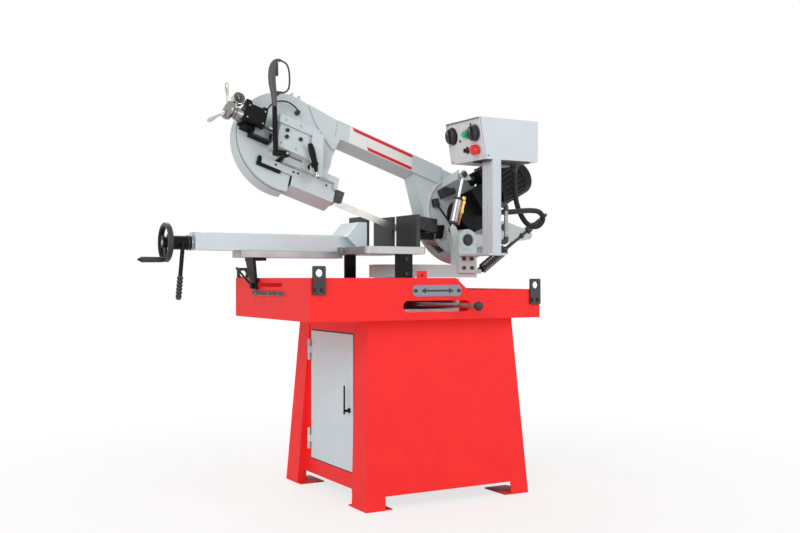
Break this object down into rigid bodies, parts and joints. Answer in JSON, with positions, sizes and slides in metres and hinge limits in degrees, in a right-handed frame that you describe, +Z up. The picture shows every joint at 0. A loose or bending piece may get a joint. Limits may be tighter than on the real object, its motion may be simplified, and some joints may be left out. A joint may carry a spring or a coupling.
{
  "type": "metal cutting band saw",
  "caption": "Swivelling metal cutting band saw: pivoting bow with blade, guides, motor and tension handle over a vice and table, on a coolant tray and cabinet stand.",
  "frame": {"origin": "on the floor, at the centre of the four anchor holes", "axes": "+X along the blade towards the bow pivot, +Y to the back, +Z up"},
  "size_m": [1.7908, 0.8435, 1.7159],
  "materials": {
    "aluminium": "cast",
    "black_paint": "satin",
    "black_plastic": "matte",
    "blade_steel": "ground",
    "box_paint": "satin",
    "brass": "machined",
    "cast": "machined",
    "chrome": "polished",
    "conduit": "matte",
    "green_plastic": "gloss",
    "grey_paint": "satin",
    "red_paint": "gloss",
    "red_plastic": "gloss",
    "steel": "machined"
  },
  "bodies": {
    "stand": {"stand_cabinet": "red_paint", "door_hinges": "steel", "coolant_tray": "red_paint", "tray_plates": "grey_paint", "lifting_lugs": "black_paint", "coolant_tank": "grey_paint", "coolant_pump": "black_paint", "base_casting": "grey_paint", "vice_bed": "cast", "bed_supports": "black_paint", "fixed_jaws": "black_paint", "vice_nut": "brass"},
    "door": {"cabinet_door": "grey_paint"},
    "door_latch": {"door_handle": "black_plastic"},
    "lock": {"lock_lever": "steel"},
    "bed_lock": {"bed_lock_lever": "black_paint"},
    "vice": {"vice_beam": "grey_paint", "moving_jaw": "black_paint"},
    "screw": {"vice_screw": "steel", "handwheel": "black_plastic"},
    "crank": {"crank_grip": "black_plastic"},
    "clamp": {"vice_clamp": "black_paint"},
    "swivel": {"swivel_arm": "grey_paint", "post_bracket": "grey_paint", "control_post": "grey_paint", "control_box": "box_paint", "control_panel": "box_paint", "motor_conduit": "conduit", "return_spring": "steel"},
    "main_switch": {"main_switch": "black_plastic"},
    "speed_switch": {"speed_switch": "black_plastic"},
    "mode_switch": {"mode_switch": "black_plastic"},
    "start_button": {"start_button": "green_plastic"},
    "stop_button": {"stop_button": "red_plastic"},
    "feed_barrel": {"feed_cylinder": "aluminium"},
    "feed_piston": {"feed_rod": "chrome"},
    "feed_knob": {"feed_valve": "brass"},
    "bow": {"bow_frame": "grey_paint", "pivot_shaft": "steel", "tail_bracket": "grey_paint", "gearbox": "black_paint", "motor": "black_paint", "slideways": "grey_paint", "tension_bracket": "black_paint", "tension_gauge": "chrome", "fixed_guide": "black_paint", "pistol_handle": "black_plastic", "saw_blade": "blade_steel"},
    "idler_lid": {"idler_cover": "grey_paint"},
    "drive_lid": {"drive_cover": "grey_paint"},
    "drive": {"drive_wheel": "cast", "drive_shaft": "steel"},
    "idler": {"idler_wheel": "cast"},
    "carriage": {"tension_block": "cast"},
    "tension": {"tension_handle": "chrome"},
    "guide": {"guide_arm": "grey_paint", "guide_block": "black_paint", "blade_guard": "grey_paint"},
    "guide_lever": {"guide_clamp": "black_paint"},
    "trigger": {"trigger": "black_plastic"}
  },
  "joints": [
    {"name": "door_swing", "type": "hinge", "parent": "stand", "child": "door", "pos_m": [-0.3325, 0.1975, 0.375], "axis": [0, 0, -1], "range_deg": [0, 105]},
    {"name": "door_latch_turn", "type": "hinge", "parent": "door", "child": "door_latch", "pos_m": [-0.327, -0.16, 0.345], "axis": [1, 0, 0], "range_deg": [0, 90]},
    {"name": "swivel_lock_turn", "type": "hinge", "parent": "stand", "child": "lock", "pos_m": [0, 0.075, 0.744], "axis": [0, 0, 1], "range_deg": [-25, 1]},
    {"name": "bed_lock_turn", "type": "hinge", "parent": "stand", "child": "bed_lock", "pos_m": [-0.605, 0.118, 0.82], "axis": [1, 0, 0], "range_deg": [-30, 12]},
    {"name": "handwheel_spin", "type": "hinge", "parent": "vice", "child": "screw", "pos_m": [-0.94, 0.176, 0.985], "axis": [1, 0, 0], "range_deg": [-10085, 7565]},
    {"name": "vice_slide", "type": "slide", "parent": "stand", "child": "vice", "axis": [1, 0, 0], "range_m": [-0.14, 0.105]},
    {"name": "crank_spin", "type": "hinge", "parent": "screw", "child": "crank", "pos_m": [-0.97, 0.176, 0.919], "axis": [1, 0, 0], "continuous": true},
    {"name": "vice_clamp_turn", "type": "hinge", "parent": "vice", "child": "clamp", "pos_m": [-0.88, 0.176, 0.985], "axis": [1, 0, 0], "range_deg": [-30, 45]},
    {"name": "swivel_turn", "type": "hinge", "parent": "stand", "child": "swivel", "pos_m": [0, 0.075, 0.88], "axis": [0, 0, 1], "range_deg": [0, 45]},
    {"name": "bow_pivot", "type": "hinge", "parent": "swivel", "child": "bow", "pos_m": [0.274, 0.075, 1.009], "axis": [0, 1, 0], "range_deg": [-18.5, 20], "deforming": ["return_spring"]},
    {"name": "feed_tilt", "type": "hinge", "parent": "swivel", "child": "feed_barrel", "pos_m": [0.224, -0.02, 1.054], "axis": [0, 1, 0], "range_deg": [-22, 24]},
    {"name": "feed_stroke", "type": "slide", "parent": "feed_barrel", "child": "feed_piston", "axis": [0.2386, 0, 0.9711], "range_m": [-0.022, 0.022]},
    {"name": "feed_valve_turn", "type": "hinge", "parent": "feed_barrel", "child": "feed_knob", "pos_m": [0.28362, -0.02, 1.18352], "axis": [0.2386, 0, 0.9711], "range_deg": [0, 270]},
    {"name": "idler_cover_open", "type": "hinge", "parent": "bow", "child": "idler_lid", "pos_m": [-0.42118, 0.162, 1.57862], "axis": [0.9483, 0, -0.3173], "range_deg": [0, 90]},
    {"name": "drive_cover_open", "type": "hinge", "parent": "bow", "child": "drive_lid", "pos_m": [0.39246, 0.20724, 1.26849], "axis": [0.9483, 0, -0.3173], "range_deg": [0, 90]},
    {"name": "drive_spin", "type": "hinge", "parent": "bow", "child": "drive", "pos_m": [0.337, 0.11382, 1.10274], "axis": [0.0821, -0.9659, 0.2454], "continuous": true},
    {"name": "tension_spin", "type": "hinge", "parent": "bow", "child": "tension", "pos_m": [-0.74016, 0.0419, 1.48566], "axis": [0.9483, 0, -0.3173], "range_deg": [-1, 1081]},
    {"name": "tension_slide", "type": "slide", "parent": "bow", "child": "carriage", "axis": [0.9483, 0, -0.3173], "range_m": [0, 0.012]},
    {"name": "idler_spin", "type": "hinge", "parent": "carriage", "child": "idler", "pos_m": [-0.48804, 0.11382, 1.3788], "axis": [0.0821, -0.9659, 0.2454], "continuous": true},
    {"name": "guide_slide", "type": "slide", "parent": "bow", "child": "guide", "axis": [0.9483, 0, -0.3173], "range_m": [0, 0.08]},
    {"name": "guide_clamp_turn", "type": "hinge", "parent": "bow", "child": "guide_lever", "pos_m": [-0.40964, 0.00437, 1.28851], "axis": [0.0821, -0.9659, 0.2454], "range_deg": [-20, 20]},
    {"name": "trigger_pull", "type": "hinge", "parent": "bow", "child": "trigger", "pos_m": [-0.53643, 0.07267, 1.68935], "axis": [-0.0821, 0.9659, -0.2454], "range_deg": [0, 8], "stiffness_Nm_per_rad": 1.5},
    {"name": "main_switch_turn", "type": "hinge", "parent": "swivel", "child": "main_switch", "pos_m": [0.18801, -0.0885, 1.43458], "axis": [-0.9861, 0, -0.1663], "range_deg": [-90, 0]},
    {"name": "speed_switch_turn", "type": "hinge", "parent": "swivel", "child": "speed_switch", "pos_m": [0.18884, -0.2535, 1.42965], "axis": [-0.9861, 0, -0.1663], "range_deg": [-45, 45]},
    {"name": "mode_switch_turn", "type": "hinge", "parent": "swivel", "child": "mode_switch", "pos_m": [0.19932, -0.1835, 1.36753], "axis": [-0.9861, 0, -0.1663], "range_deg": [-45, 45]},
    {"name": "start_button_press", "type": "slide", "parent": "swivel", "child": "start_button", "axis": [0.9861, 0, 0.1663], "range_m": [0, 0.006], "stiffness_N_per_m": 600},
    {"name": "stop_button_press", "type": "slide", "parent": "swivel", "child": "stop_button", "axis": [0.9861, 0, 0.1663], "range_m": [0, 0.006], "stiffness_N_per_m": 800}
  ],
  "couplings": [
    {"joint": "handwheel_spin", "follows": "vice_slide", "rad_per_m": 1256.6},
    {"joint": "feed_tilt", "follows": "bow_pivot", "ratio": 1.1297},
    {"joint": "feed_stroke", "follows": "bow_pivot", "m_per_rad": 0.05816},
    {"joint": "idler_spin", "follows": "drive_spin", "ratio": 1},
    {"joint": "tension_spin", "follows": "tension_slide", "rad_per_m": 1570.8}
  ]
}
